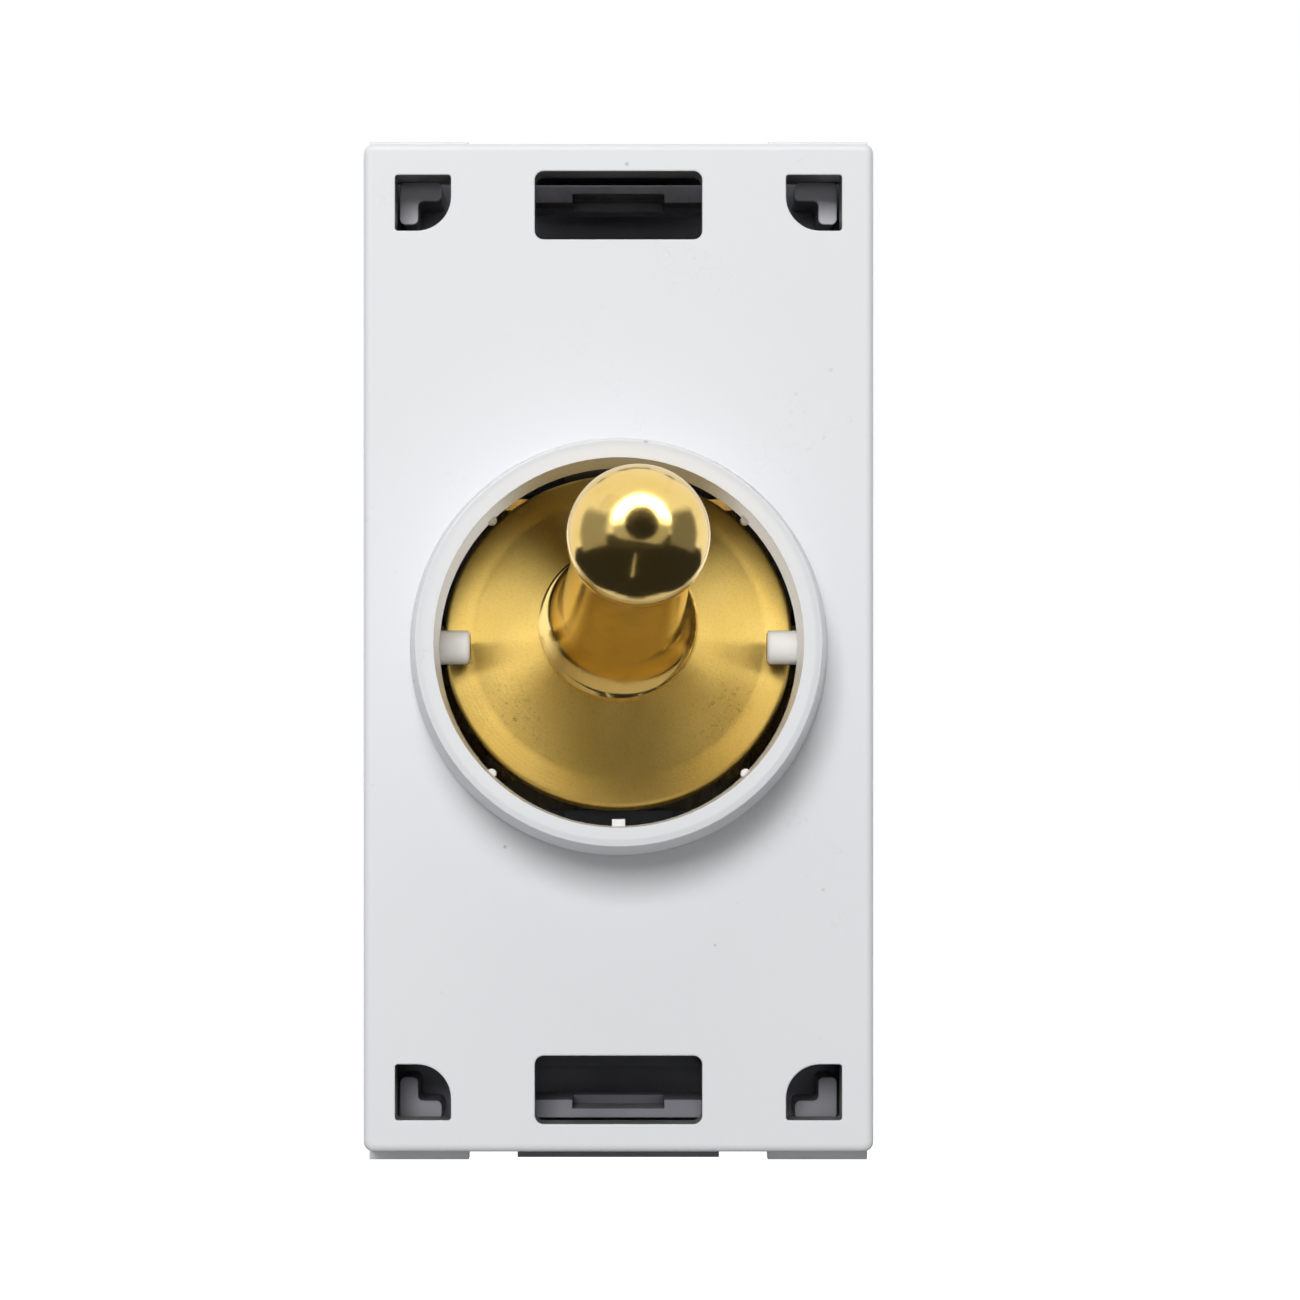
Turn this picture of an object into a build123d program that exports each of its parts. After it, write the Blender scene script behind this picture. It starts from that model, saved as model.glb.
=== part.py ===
from build123d import *

import os
from math import cos, radians, sin, sqrt, tan

# Intermediate (crossing) light switch: a brass dolly in a modular insert of the 25 x 50 mm size.
# Millimetres. X points right, Y into the wall, Z up. The front face lies in the plane Y = 0 and
# the origin is the centre of the collar on that face. "Depth" is always the distance along +Y.

# Front plate
face_width = 25.3
face_height = 50.0
face_thickness = 1.7
face_edge_radius = 0.4
face_corner_radius = 0.5

# Collar on the front plate
collar_clearance = 0.13
collar_foot_wall = 1.42
collar_rim_wall = 0.87
collar_height = 5.5
collar_land_height = 1.2
collar_rim_chamfer = 0.3
recess_clearance = 0.8
recess_front_depth = -0.3
recess_wall = 1.1

# Small ribs on the collar's bore, and the two pegs that hold the dolly in
rib_length = 1.0
nib_radius = 0.24
nib_angles = (45, 135, 225, 315)
key_width = 0.65
key_height = 0.35
key_angle = 270
peg_radius = 0.85
peg_reach = 1.35
peg_end_chamfer = 0.12
peg_depth = 0.2

# Openings in the face: a slot above and below the collar, and a window in each corner
slot_width = 8.3
slot_height = 3.4
slot_inset = 3.1
slot_corner_radius = 0.45
window_size = 2.78
window_inset_x = 2.97
window_inset_z = 2.98
window_inner_radius = 1.7
window_corner_radius = 0.15

# Skirt behind the face: its sides, its four end lips and the hooks that hold the housing
skirt_thickness = 1.1
skirt_depth = 9.6
lip_length = 5.05
lip_wall = 1.0
lip_reach = 0.85
lip_front_depth = 3.9
lip_back_depth = 5.4
hook_depth_length = 1.1
hook_width = 4.0
hook_spacing = 24.0
hook_bite = 0.5

# Housing
housing_wall = 1.1
housing_side_gap = 0.75
housing_end_inset = 3.1
housing_back_depth = 22.6
flange_depth = 7.0
flange_thickness = 1.2
flange_gap = 0.15
post_front_depth = 3.9
ledge_front_depth = 4.6
post_gap = 0.45
flange_end_inset = 1.2
flange_ear_width = 2.1
tongue_side_gap = 0.25
post_leg_length = 2.12
post_leg_width = 0.92
post_corner_radius = 0.28
slot_pocket_half_width = 4.4
slot_pocket_depth = 11.5
ledge_half_width = 5.15
ledge_thickness = 0.9
ledge_notch_half_width = 2.35
ledge_notch_depth = 0.45
tongue_gap = 0.43
tongue_thickness = 0.8
tongue_root_depth = 12.0
tongue_root_thickness = 1.4
tongue_front_depth = 4.8
tongue_hook_depth_length = 1.6
stop_half_width = 2.77
stop_inner_inset = 0.6
stop_thickness = 1.3
stop_bar_depth = 6.4
web_gap = 0.4
web_front_depth = 12.0
rail_reach = 0.8
rail_end_gap = 0.4

# Rear cover and its screws
cover_thickness = 1.6
cover_lip_height = 0.8
cover_lip_width = 1.0
cover_screw_margin = 1.8
cover_screw_core_radius = 0.8
cover_screw_length = 6.0
cover_screw_head_radius = 1.5
cover_screw_head_height = 0.9
slot_in_screw_width = 0.45
slot_in_screw_depth = 0.5

# Dolly: one turned brass piece. Heights run along its own axis, outwards from the tilt axis.
tilt_angle = 15.0
pivot_depth = 3.5
disc_radius = 8.7
disc_front_height = 2.1
disc_thickness = 1.05
disc_edge_chamfer = 0.18
band_width = 1.4
band_rise = 0.12
bead_radius = 3.95
bead_bottom_height = 4.15
neck_cove_height = 0.9
neck_sink = 0.3
skirt_dish = 0.35
bead_top_height = 4.75
bead_chamfer_width = 0.3
bead_chamfer_height = 0.2
neck_foot_radius = 3.0
neck_foot_height = 7.4
neck_top_radius = 2.7
ball_radius = 3.25
ball_centre_height = 17.2
neck_lean = 3.8
tail_radius = 1.9
tail_length = 4.0

# Carrier under the dolly, its trunnions, the cross pin, the plungers and their springs
carrier_end_wall = 0.57
carrier_front_half_height = 3.4
carrier_back_half_height = 2.4
carrier_back_height = -3.6
carrier_edge_fillet = 0.4
trunnion_radius = 0.95
trunnion_end_gap = 0.1
cheek_half_height = 3.05
cross_pin_radius = 0.6
cross_pin_half_length = 2.8
cross_pin_height = -1.0
cross_pin_chamfer = 0.15
pole_spacing = 9.6
plunger_radius = 1.38
plunger_back_height = -2.1
plunger_nose_radius = 1.0
plunger_nose_centre = -4.08
plunger_shoulder_length = 1.2
plunger_bore_end = 0.4
spring_coil_radius = 0.95
spring_wire_radius = 0.15
spring_wire_sides = 6
spring_turns = 3

# Rockers, contacts and straps
rocker_swing = 7.0
rocker_depth = 10.0
rocker_width = 3.6
rocker_tip_margin = 1.1
rocker_thickness = 0.7
rocker_front_offset = 1.35
rocker_arm_slope = 8.0
rocker_ridge_radius = 0.6
rocker_neck_width = 0.9
contact_spacing = 10.6
moving_contact_radius = 1.2
fixed_contact_radius = 1.3
contact_thickness = 0.6
contact_chamfer = 0.15
contact_gap = 0.08
strap_thickness = 0.8
strap_width = 3.0
strap_end_gap = 0.5
side_strip_width = 2.25
strap_side_gap = 0.3
lead_step_depth = 1.2
pad_length = 2.8
riser_width = 2.4
cross_bar_width = 2.0
front_cross_depth = 14.2
barrier_thickness = 1.2
barrier_gap = 0.2
barrier_end_margin = 2.9
saddle_half_height = 1.6
saddle_thickness = 1.2

# Terminals
block_width = 6.4
block_height = 7.0
block_front_depth = 13.6
block_back_gap = 1.0
block_end_gap = 0.6
wire_bore_radius = 1.5
entry_radius = 1.9
entry_funnel_radius = 2.7
entry_funnel_depth = 0.8
block_chamfer = 0.4
terminal_screw_radius = 1.4
terminal_tip_chamfer = 0.3
terminal_screw_travel = 1.4
terminal_head_radius = 2.2
terminal_head_height = 1.3
terminal_slot_width = 0.6
terminal_slot_depth = 0.7
screw_access_clearance = 0.4

# Clearances
running_clearance = 0.05
seat_clearance = 0.1
press_allowance = 0.02

# Sizes that follow
half_face_width = face_width / 2
half_face_height = face_height / 2
skirt_inner = half_face_width - skirt_thickness
slot_centre = half_face_height - slot_inset
window_centre_x = half_face_width - window_inset_x
window_centre_z = half_face_height - window_inset_z
collar_bore_radius = disc_radius + collar_clearance
collar_base_radius = collar_bore_radius + collar_foot_wall
collar_rim_radius = collar_bore_radius + collar_rim_wall
recess_radius = disc_radius + recess_clearance
peg_inner_end = disc_radius - peg_reach
band_inner_radius = disc_radius - band_width
tube_radius = recess_radius + recess_wall
tube_end_depth = pivot_depth - trunnion_radius - running_clearance
disc_back = disc_front_height - disc_thickness
disc_reach = disc_radius * sin(radians(tilt_angle)) - disc_back * cos(radians(tilt_angle))
stop_depth = pivot_depth + disc_reach + seat_clearance
housing_half_width = skirt_inner - housing_side_gap
housing_half_height = half_face_height - housing_end_inset
housing_inner = housing_half_width - housing_wall
end_wall_inner = housing_half_height - housing_wall
flange_back_depth = flange_depth + flange_thickness
flange_half_width = skirt_inner - flange_gap
post_corner_x = skirt_inner - post_gap
post_corner_z = half_face_height - flange_end_inset
ear_inner = ledge_half_width + tongue_side_gap
pole_x = pole_spacing / 2
contact_z = contact_spacing / 2
rocker_half_length = contact_z + rocker_tip_margin
carrier_half_width = pole_x + plunger_radius + running_clearance + carrier_end_wall
trunnion_end = housing_half_width - trunnion_end_gap
# The closed moving contact's face, seen from the rocker's own axis, sets the fixed contacts' depth
arm_rise = contact_z * tan(radians(rocker_arm_slope))
moving_face_offset = rocker_front_offset - rocker_thickness + arm_rise - contact_thickness
closed_drop = contact_z * sin(radians(rocker_swing)) - moving_face_offset * cos(radians(rocker_swing))
fixed_face_depth = rocker_depth + closed_drop + contact_gap
pad_depth = fixed_face_depth + contact_thickness
barrier_depth = front_cross_depth + strap_thickness + barrier_gap
barrier_half_width = housing_inner - barrier_gap
barrier_half_height = contact_z + riser_width / 2 + barrier_end_margin
rail_half_height = barrier_half_height - rail_end_gap
web_inner_end = barrier_half_height + web_gap
web_half_width = pole_x - block_width / 2 - seat_clearance
cover_screw_z = web_inner_end + cover_screw_margin
rear_cross_depth = barrier_depth + barrier_thickness + barrier_gap
lead_depth = block_front_depth - strap_thickness
block_back_depth = housing_back_depth - block_back_gap
screw_depth = (block_front_depth + block_back_depth) / 2
block_outer_end = end_wall_inner - block_end_gap
block_centre_z = block_outer_end - block_height / 2
cover_back_depth = housing_back_depth + cover_thickness

# The dolly's own axis at rest, tilted up, and the middle of the tilt axis
axis_y = -cos(radians(tilt_angle))
axis_z = sin(radians(tilt_angle))
pivot = Vector(0, pivot_depth, 0)
dolly_axis = Vector(0, axis_y, axis_z)

os.makedirs("parts", exist_ok=True)


def face_plane(depth):
    """A plane parallel to the front face: local X and Y are the object's X and Z."""
    return Plane.XZ.offset(-depth)


def side_plane(x, depth=0, height=0, angle=0):
    """A plane across X: local X is depth and local Y is height, turned about X by angle."""
    turn = radians(angle)
    return Plane(origin=(x, depth, height), x_dir=(0, cos(turn), sin(turn)), z_dir=(1, 0, 0))


def end_plane(z):
    """A plane across Z, at height z: local X is the object's X and local Y is depth."""
    return Plane.XY.offset(z)


def dolly_plane(height):
    """A plane across the tilted axis, height in front of the tilt axis."""
    return Plane(origin=pivot + dolly_axis * height, x_dir=(1, 0, 0), z_dir=dolly_axis)


def turning_plane(axis_point, axis_direction):
    """A plane for a turned profile: local X is the radius and local Y runs along the axis."""
    radial = Vector(1, 0, 0) - axis_direction * axis_direction.X
    return Plane(origin=axis_point, x_dir=radial, z_dir=radial.normalized().cross(axis_direction))


def write(part, name):
    part.label = name
    export_step(part, f"parts/{name}.step")


# Front plate: face, skirt, lips, hooks, collar, ribs and pegs, moulded as one piece
with BuildPart() as front_plate:
    with BuildSketch(face_plane(0)):
        RectangleRounded(face_width, face_height, face_corner_radius)
    extrude(amount=-face_thickness)
    fillet(front_plate.faces().sort_by(Axis.Y)[0].edges(), face_edge_radius)
    # Sides of the skirt and the four end walls
    for side in (-1, 1):
        with BuildSketch(face_plane(face_thickness)):
            with Locations((side * (half_face_width - skirt_thickness / 2), 0)):
                Rectangle(skirt_thickness, face_height - 2 * face_corner_radius)
        extrude(amount=-(skirt_depth - face_thickness))
    lip_centre = half_face_width - lip_length / 2
    with BuildSketch(face_plane(face_thickness)):
        for side in (-1, 1):
            for end in (-1, 1):
                with Locations((side * lip_centre, end * (half_face_height - lip_wall / 2))):
                    Rectangle(lip_length, lip_wall)
    extrude(amount=-(lip_back_depth - face_thickness))
    # A snap lip stands out of each end wall, sloped on its back so that it rides over the frame
    for side in (-1, 1):
        for end in (-1, 1):
            left = side * lip_centre - lip_length / 2
            with BuildSketch(side_plane(left)):
                with BuildLine():
                    Polyline(
                        (lip_front_depth, end * (half_face_height - lip_wall)),
                        (lip_front_depth, end * (half_face_height + lip_reach)),
                        (lip_back_depth - lip_reach / 2, end * (half_face_height + lip_reach)),
                        (lip_back_depth, end * (half_face_height - lip_wall)),
                        close=True,
                    )
                make_face()
            extrude(amount=lip_length)
    # Hooks inside the skirt catch behind the housing's flange
    for side in (-1, 1):
        for end in (-1, 1):
            with BuildSketch(end_plane(end * hook_spacing / 2 - hook_width / 2)):
                with BuildLine():
                    hook_front = flange_back_depth + running_clearance
                    hook_tip = side * (flange_half_width - hook_bite)
                    Polyline(
                        (side * (skirt_inner + skirt_thickness / 2), hook_front),
                        (hook_tip, hook_front),
                        (hook_tip, hook_front + hook_depth_length / 3),
                        (side * (skirt_inner + skirt_thickness / 2), hook_front + hook_depth_length),
                        close=True,
                    )
                make_face()
            extrude(amount=hook_width)
    # Collar with a straight land at its foot, a slight draft above it and a rounded rim,
    # and the tube behind the face that the dolly's disc swings in
    with BuildSketch(Plane.XY):
        with BuildLine():
            Polyline(
                (0, -collar_height),
                (collar_rim_radius, -collar_height),
                (collar_base_radius, -collar_land_height),
                (collar_base_radius, face_thickness / 2),
                (tube_radius, face_thickness / 2),
                (tube_radius, tube_end_depth),
                (0, tube_end_depth),
                close=True,
            )
        make_face()
    revolve(axis=Axis.Y)
    with BuildSketch(Plane.XY):
        with BuildLine():
            Polyline(
                (0, -collar_height),
                (collar_bore_radius, -collar_height),
                (collar_bore_radius, recess_front_depth),
                (recess_radius, recess_front_depth),
                (recess_radius, tube_end_depth),
                (0, tube_end_depth),
                close=True,
            )
        make_face()
    revolve(axis=Axis.Y, mode=Mode.SUBTRACT)
    rim_edges = front_plate.edges().filter_by(GeomType.CIRCLE).group_by(Axis.Y)[0]
    chamfer(rim_edges.sort_by(SortBy.RADIUS)[-1:], collar_rim_chamfer)
    # Short half-round nibs and one square key at the inner end of the bore
    with BuildSketch(face_plane(recess_front_depth)):
        for angle in nib_angles:
            with PolarLocations(collar_bore_radius, 1, start_angle=angle):
                Circle(nib_radius)
        with PolarLocations(collar_bore_radius, 1, start_angle=key_angle):
            Rectangle(2 * key_height, key_width)
    extrude(amount=rib_length)
    # Pegs at three and nine o'clock, with bevelled ends
    for side in (-1, 1):
        root = recess_radius + recess_wall / 2
        with BuildSketch(Plane(origin=(0, peg_depth, 0), x_dir=(1, 0, 0), z_dir=(0, 0, 1))):
            with BuildLine():
                Polyline(
                    (side * peg_inner_end, 0),
                    (side * root, 0),
                    (side * root, peg_radius),
                    (side * (peg_inner_end + peg_end_chamfer), peg_radius),
                    (side * peg_inner_end, peg_radius - peg_end_chamfer),
                    close=True,
                )
            make_face()
        revolve(axis=Axis((0, peg_depth, 0), (1, 0, 0)))
    # Slots above and below the collar
    with BuildSketch(face_plane(0)):
        with GridLocations(0, 2 * slot_centre, 1, 2):
            RectangleRounded(slot_width, slot_height, slot_corner_radius)
    extrude(amount=-face_thickness, mode=Mode.SUBTRACT)
    # Corner windows, each with a large round on the corner towards the middle of the face
    for side in (-1, 1):
        for end in (-1, 1):
            with BuildSketch(face_plane(0)) as window:
                with Locations((side * window_centre_x, end * window_centre_z)):
                    Rectangle(window_size, window_size)
                fillet(window.vertices().sort_by_distance((0, 0, 0))[1:], window_corner_radius)
                fillet(window.vertices().sort_by_distance((0, 0, 0))[0], window_inner_radius)
            extrude(amount=-face_thickness, mode=Mode.SUBTRACT)
write(front_plate.part, "front_plate")

# Housing: open tub with a front flange, corner posts, end ledges, spring tongues and inner webs
with BuildPart() as housing:
    with BuildSketch(face_plane(flange_depth)):
        Rectangle(2 * flange_half_width, 2 * post_corner_z)
        # Its corners close the ends of the skirt, and an ear stands on each side of the tongues
        corner_width = flange_half_width - ear_inner
        corner_height = half_face_height - seat_clearance - post_corner_z
        with GridLocations(2 * ear_inner + corner_width, 2 * post_corner_z + corner_height, 2, 2):
            Rectangle(corner_width, corner_height)
        ear_height = half_face_height + lip_reach - post_corner_z
        with GridLocations(2 * ear_inner + flange_ear_width, 2 * post_corner_z + ear_height, 2, 2):
            Rectangle(flange_ear_width, ear_height)
    extrude(amount=-flange_thickness)
    with BuildSketch(face_plane(flange_depth)):
        Rectangle(2 * housing_half_width, 2 * housing_half_height)
    extrude(amount=-(housing_back_depth - flange_depth))
    # Side cheeks reach forward of the flange to carry the trunnions
    cheek_front_depth = tube_end_depth + seat_clearance
    with BuildSketch(face_plane(cheek_front_depth)):
        with GridLocations(2 * housing_half_width - housing_wall, 1, 2, 1):
            Rectangle(housing_wall, 2 * cheek_half_height)
    extrude(amount=-(flange_depth - cheek_front_depth))
    with BuildSketch(face_plane(flange_depth)):
        Rectangle(2 * housing_inner, 2 * end_wall_inner)
    extrude(amount=-(housing_back_depth - flange_depth), mode=Mode.SUBTRACT)
    # Bearing notches for the trunnions, open to the front
    bearing_radius = trunnion_radius + running_clearance
    with BuildSketch(side_plane(-housing_half_width)):
        with Locations((pivot_depth, 0)):
            Circle(bearing_radius)
        with Locations((pivot_depth / 2, 0)):
            Rectangle(pivot_depth, 2 * bearing_radius)
    extrude(amount=2 * housing_half_width, mode=Mode.SUBTRACT)
    # L-shaped posts, seen through the corner windows
    with BuildSketch(face_plane(post_front_depth)) as housing_posts:
        for side in (-1, 1):
            for end in (-1, 1):
                corner_x = side * post_corner_x
                corner_z = end * post_corner_z
                with BuildLine():
                    Polyline(
                        (corner_x, corner_z),
                        (corner_x - side * post_leg_length, corner_z),
                        (corner_x - side * post_leg_length, corner_z - end * post_leg_width),
                        (corner_x - side * post_leg_width, corner_z - end * post_leg_width),
                        (corner_x - side * post_leg_width, corner_z - end * post_leg_length),
                        (corner_x, corner_z - end * post_leg_length),
                        close=True,
                    )
                make_face()
        fillet(housing_posts.vertices(), post_corner_radius)
    extrude(amount=-(flange_depth - post_front_depth))
    # End ledges, notched in the middle, seen through the slots
    with BuildSketch(face_plane(ledge_front_depth)):
        for end in (-1, 1):
            with Locations((0, end * (post_corner_z - ledge_thickness / 2))):
                Rectangle(2 * ledge_half_width, ledge_thickness)
            with Locations((0, end * (post_corner_z - ledge_thickness + ledge_notch_depth / 2))):
                Rectangle(2 * ledge_notch_half_width, ledge_notch_depth, mode=Mode.SUBTRACT)
    extrude(amount=-(flange_depth - ledge_front_depth))
    # Spring tongues with hooked tips, which hold the insert in its mounting frame
    tongue_inner = post_corner_z + tongue_gap
    tongue_tip = half_face_height + lip_reach
    for end in (-1, 1):
        with BuildSketch(side_plane(-ledge_half_width)):
            with BuildLine():
                Polyline(
                    (tongue_front_depth, end * tongue_inner),
                    (tongue_front_depth, end * tongue_tip),
                    (tongue_front_depth + tongue_hook_depth_length / 3, end * tongue_tip),
                    (
                        tongue_front_depth + tongue_hook_depth_length,
                        end * (tongue_inner + tongue_thickness),
                    ),
                    (tongue_root_depth + tongue_root_thickness, end * (tongue_inner + tongue_thickness)),
                    (tongue_root_depth + tongue_root_thickness, end * end_wall_inner),
                    (tongue_root_depth, end * end_wall_inner),
                    (tongue_root_depth, end * tongue_inner),
                    close=True,
                )
            make_face()
        extrude(amount=2 * ledge_half_width)
    # A deep pocket behind each slot reaches from the tub to the ledge
    pocket_outer_end = post_corner_z - ledge_thickness
    pocket_height = pocket_outer_end - end_wall_inner
    with BuildSketch(face_plane(flange_depth)):
        with GridLocations(1, 2 * end_wall_inner + pocket_height, 1, 2):
            Rectangle(2 * slot_pocket_half_width, pocket_height)
    extrude(amount=-(slot_pocket_depth - flange_depth), mode=Mode.SUBTRACT)
    # Middle webs between the terminals, which also take the cover screws
    web_length = housing_half_height - housing_wall / 2 - web_inner_end
    with BuildSketch(face_plane(web_front_depth)):
        with GridLocations(1, 2 * web_inner_end + web_length, 1, 2):
            Rectangle(2 * web_half_width, web_length)
    extrude(amount=-(housing_back_depth - web_front_depth))
    with BuildSketch(face_plane(housing_back_depth)):
        with GridLocations(1, 2 * cover_screw_z, 1, 2):
            Circle(cover_screw_core_radius + press_allowance)
    extrude(amount=cover_screw_length - cover_thickness + seat_clearance, mode=Mode.SUBTRACT)
    # Two bars across the tub's mouth carry the stops for the disc's edge
    stop_z = disc_radius - stop_inner_inset + stop_thickness / 2
    with BuildSketch(face_plane(stop_bar_depth)):
        with GridLocations(1, 2 * stop_z, 1, 2):
            Rectangle(2 * housing_inner + housing_wall, stop_thickness)
    extrude(amount=-(flange_back_depth - stop_bar_depth))
    with BuildSketch(face_plane(stop_depth)):
        with GridLocations(1, 2 * stop_z, 1, 2):
            Rectangle(2 * stop_half_width, stop_thickness)
    extrude(amount=-(stop_bar_depth - stop_depth))
    # Rails inside the cheeks carry the barrier
    with BuildSketch(face_plane(barrier_depth + barrier_thickness)):
        with GridLocations(2 * housing_inner - rail_reach, 1, 2, 1):
            Rectangle(rail_reach + housing_wall, 2 * rail_half_height)
    rail_length = housing_back_depth - barrier_depth - barrier_thickness - cover_lip_height
    extrude(amount=-(rail_length - seat_clearance))
    # Access holes for the terminal screws, through the end walls
    for end in (-1, 1):
        with BuildSketch(end_plane(end * housing_half_height)):
            with Locations((-pole_x, screw_depth), (pole_x, screw_depth)):
                Circle(terminal_head_radius + screw_access_clearance)
        extrude(amount=-end * housing_wall, mode=Mode.SUBTRACT)
write(housing.part, "housing")

# Rear cover with its locating lip and four conductor entries
with BuildPart() as rear_cover:
    with BuildSketch(face_plane(housing_back_depth)):
        Rectangle(2 * housing_half_width, 2 * housing_half_height)
    extrude(amount=-cover_thickness)
    fillet(rear_cover.faces().sort_by(Axis.Y)[-1].edges(), face_edge_radius)
    with BuildSketch(face_plane(housing_back_depth)):
        Rectangle(2 * (housing_inner - seat_clearance), 2 * (end_wall_inner - seat_clearance))
        Rectangle(
            2 * (housing_inner - seat_clearance - cover_lip_width),
            2 * (end_wall_inner - seat_clearance - cover_lip_width),
            mode=Mode.SUBTRACT,
        )
        # The lip stops short of the housing's middle webs
        Rectangle(
            2 * (web_half_width + seat_clearance),
            2 * housing_half_height,
            mode=Mode.SUBTRACT,
        )
    extrude(amount=cover_lip_height)
    with BuildSketch(face_plane(housing_back_depth)):
        with GridLocations(pole_spacing, 2 * block_centre_z, 2, 2):
            Circle(entry_radius)
        with GridLocations(1, 2 * cover_screw_z, 1, 2):
            Circle(cover_screw_core_radius + running_clearance)
    extrude(amount=-cover_thickness, mode=Mode.SUBTRACT)
    # Funnels lead the conductors in
    entry_edges = rear_cover.faces().sort_by(Axis.Y)[-1].edges().filter_by(GeomType.CIRCLE)
    chamfer(
        entry_edges.filter_by(lambda edge: edge.radius > entry_radius - seat_clearance),
        entry_funnel_depth,
        entry_funnel_radius - entry_radius,
    )
write(rear_cover.part, "rear_cover")

# Two screws hold the rear cover
with BuildPart() as cover_screws:
    with BuildSketch(face_plane(cover_back_depth)):
        with GridLocations(1, 2 * cover_screw_z, 1, 2):
            Circle(cover_screw_head_radius)
    extrude(amount=-cover_screw_head_height)
    with BuildSketch(face_plane(cover_back_depth)):
        with GridLocations(1, 2 * cover_screw_z, 1, 2):
            Circle(cover_screw_core_radius)
    extrude(amount=cover_screw_length)
    with BuildSketch(face_plane(cover_back_depth + cover_screw_head_height)):
        with GridLocations(1, 2 * cover_screw_z, 1, 2):
            Rectangle(2 * cover_screw_head_radius, slot_in_screw_width)
    extrude(amount=slot_in_screw_depth, mode=Mode.SUBTRACT)
write(cover_screws.part, "cover_screws")

# Insulating barrier between the two crossing straps, with openings for the rear strap's risers
with BuildPart() as barrier:
    with BuildSketch(face_plane(barrier_depth)):
        Rectangle(2 * barrier_half_width, 2 * barrier_half_height)
        riser_x = pole_x - rocker_width / 2 - strap_thickness / 2
        with Locations((riser_x, contact_z), (-riser_x, -contact_z)):
            Rectangle(
                strap_thickness + 2 * barrier_gap,
                riser_width + 2 * barrier_gap,
                mode=Mode.SUBTRACT,
            )
    extrude(amount=-barrier_thickness)
write(barrier.part, "barrier")

# Dolly: disc with a bright flat band, dished skirt, bead, leaning neck with its ball, and tail
with BuildPart() as dolly:
    with BuildSketch(turning_plane(pivot, dolly_axis)):
        with BuildLine():
            band_height = disc_front_height + band_rise
            Polyline((0, disc_back), (disc_radius, disc_back), (disc_radius, disc_front_height))
            Line((disc_radius, disc_front_height), (band_inner_radius, band_height))
            bead_edge_radius = bead_radius - bead_chamfer_width
            skirt_end = (bead_edge_radius, bead_bottom_height)
            ThreePointArc(
                (band_inner_radius, band_height),
                ((band_inner_radius + skirt_end[0]) / 2, (band_height + skirt_end[1]) / 2 - skirt_dish),
                skirt_end,
            )
            Polyline(
                skirt_end,
                (bead_radius, bead_bottom_height + bead_chamfer_height),
                (bead_radius, bead_top_height - bead_chamfer_height),
                (bead_edge_radius, bead_top_height),
                (0, bead_top_height),
                (0, disc_back),
            )
        make_face()
    revolve(axis=Axis(pivot, dolly_axis))
    rings = dolly.edges().filter_by(GeomType.CIRCLE)
    chamfer(rings.filter_by(lambda edge: edge.radius > band_inner_radius + band_rise), disc_edge_chamfer)
    # The neck and ball lean a little to the right from the middle of the bead
    bead_centre = pivot + dolly_axis * bead_bottom_height
    lean = radians(neck_lean)
    neck_axis = Vector(sin(lean), cos(lean) * dolly_axis.Y, cos(lean) * dolly_axis.Z)
    with BuildSketch(turning_plane(bead_centre, neck_axis)):
        with BuildLine():
            foot = neck_foot_height - bead_bottom_height
            shoulder = bead_top_height - bead_bottom_height
            ball = ball_centre_height - bead_bottom_height
            ball_join = ball - sqrt(ball_radius**2 - neck_top_radius**2)
            Line((0, 0), (neck_foot_radius, 0))
            Line((neck_foot_radius, 0), (bead_edge_radius, shoulder - neck_sink))
            ThreePointArc(
                (bead_edge_radius, shoulder - neck_sink),
                ((bead_edge_radius + 2 * neck_foot_radius) / 3, shoulder + neck_cove_height),
                (neck_foot_radius, foot),
            )
            Line((neck_foot_radius, foot), (neck_top_radius, ball_join))
            ThreePointArc(
                (neck_top_radius, ball_join),
                (ball_radius, ball),
                (0, ball + ball_radius),
            )
            Line((0, ball + ball_radius), (0, 0))
        make_face()
    revolve(axis=Axis(bead_centre, neck_axis))
    with BuildSketch(dolly_plane(disc_back)):
        Circle(tail_radius)
    extrude(amount=-tail_length)
    with BuildSketch(dolly_plane(cross_pin_height).rotated((90, 0, 0))):
        Circle(cross_pin_radius + press_allowance)
    extrude(amount=tail_radius, both=True, mode=Mode.SUBTRACT)
write(dolly.part, "dolly")

# Carrier: the insulating block on the dolly's tail, with trunnions and two plunger bores
with BuildPart() as carrier:
    carrier_front = disc_back - running_clearance
    with BuildSketch(side_plane(-carrier_half_width, pivot_depth, 0, -tilt_angle)):
        with BuildLine():
            Polyline(
                (-carrier_front, -carrier_front_half_height),
                (-carrier_front, carrier_front_half_height),
                (-carrier_back_height, carrier_back_half_height),
                (-carrier_back_height, -carrier_back_half_height),
                close=True,
            )
        make_face()
    extrude(amount=2 * carrier_half_width)
    fillet(carrier.edges().filter_by(Axis.X), carrier_edge_fillet)
    with BuildSketch(side_plane(-trunnion_end, pivot_depth)):
        Circle(trunnion_radius)
    extrude(amount=2 * trunnion_end)
    with BuildSketch(dolly_plane(carrier_front)):
        Circle(tail_radius + running_clearance)
    extrude(amount=-(tail_length + seat_clearance), mode=Mode.SUBTRACT)
    with BuildSketch(dolly_plane(plunger_bore_end)):
        with GridLocations(pole_spacing, 1, 2, 1):
            Circle(plunger_radius + running_clearance)
    extrude(amount=-(plunger_bore_end - carrier_back_height), mode=Mode.SUBTRACT)
    with BuildSketch(dolly_plane(cross_pin_height).rotated((90, 0, 0))):
        Circle(cross_pin_radius + press_allowance)
    extrude(amount=carrier_front_half_height, both=True, mode=Mode.SUBTRACT)
write(carrier.part, "carrier")

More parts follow.
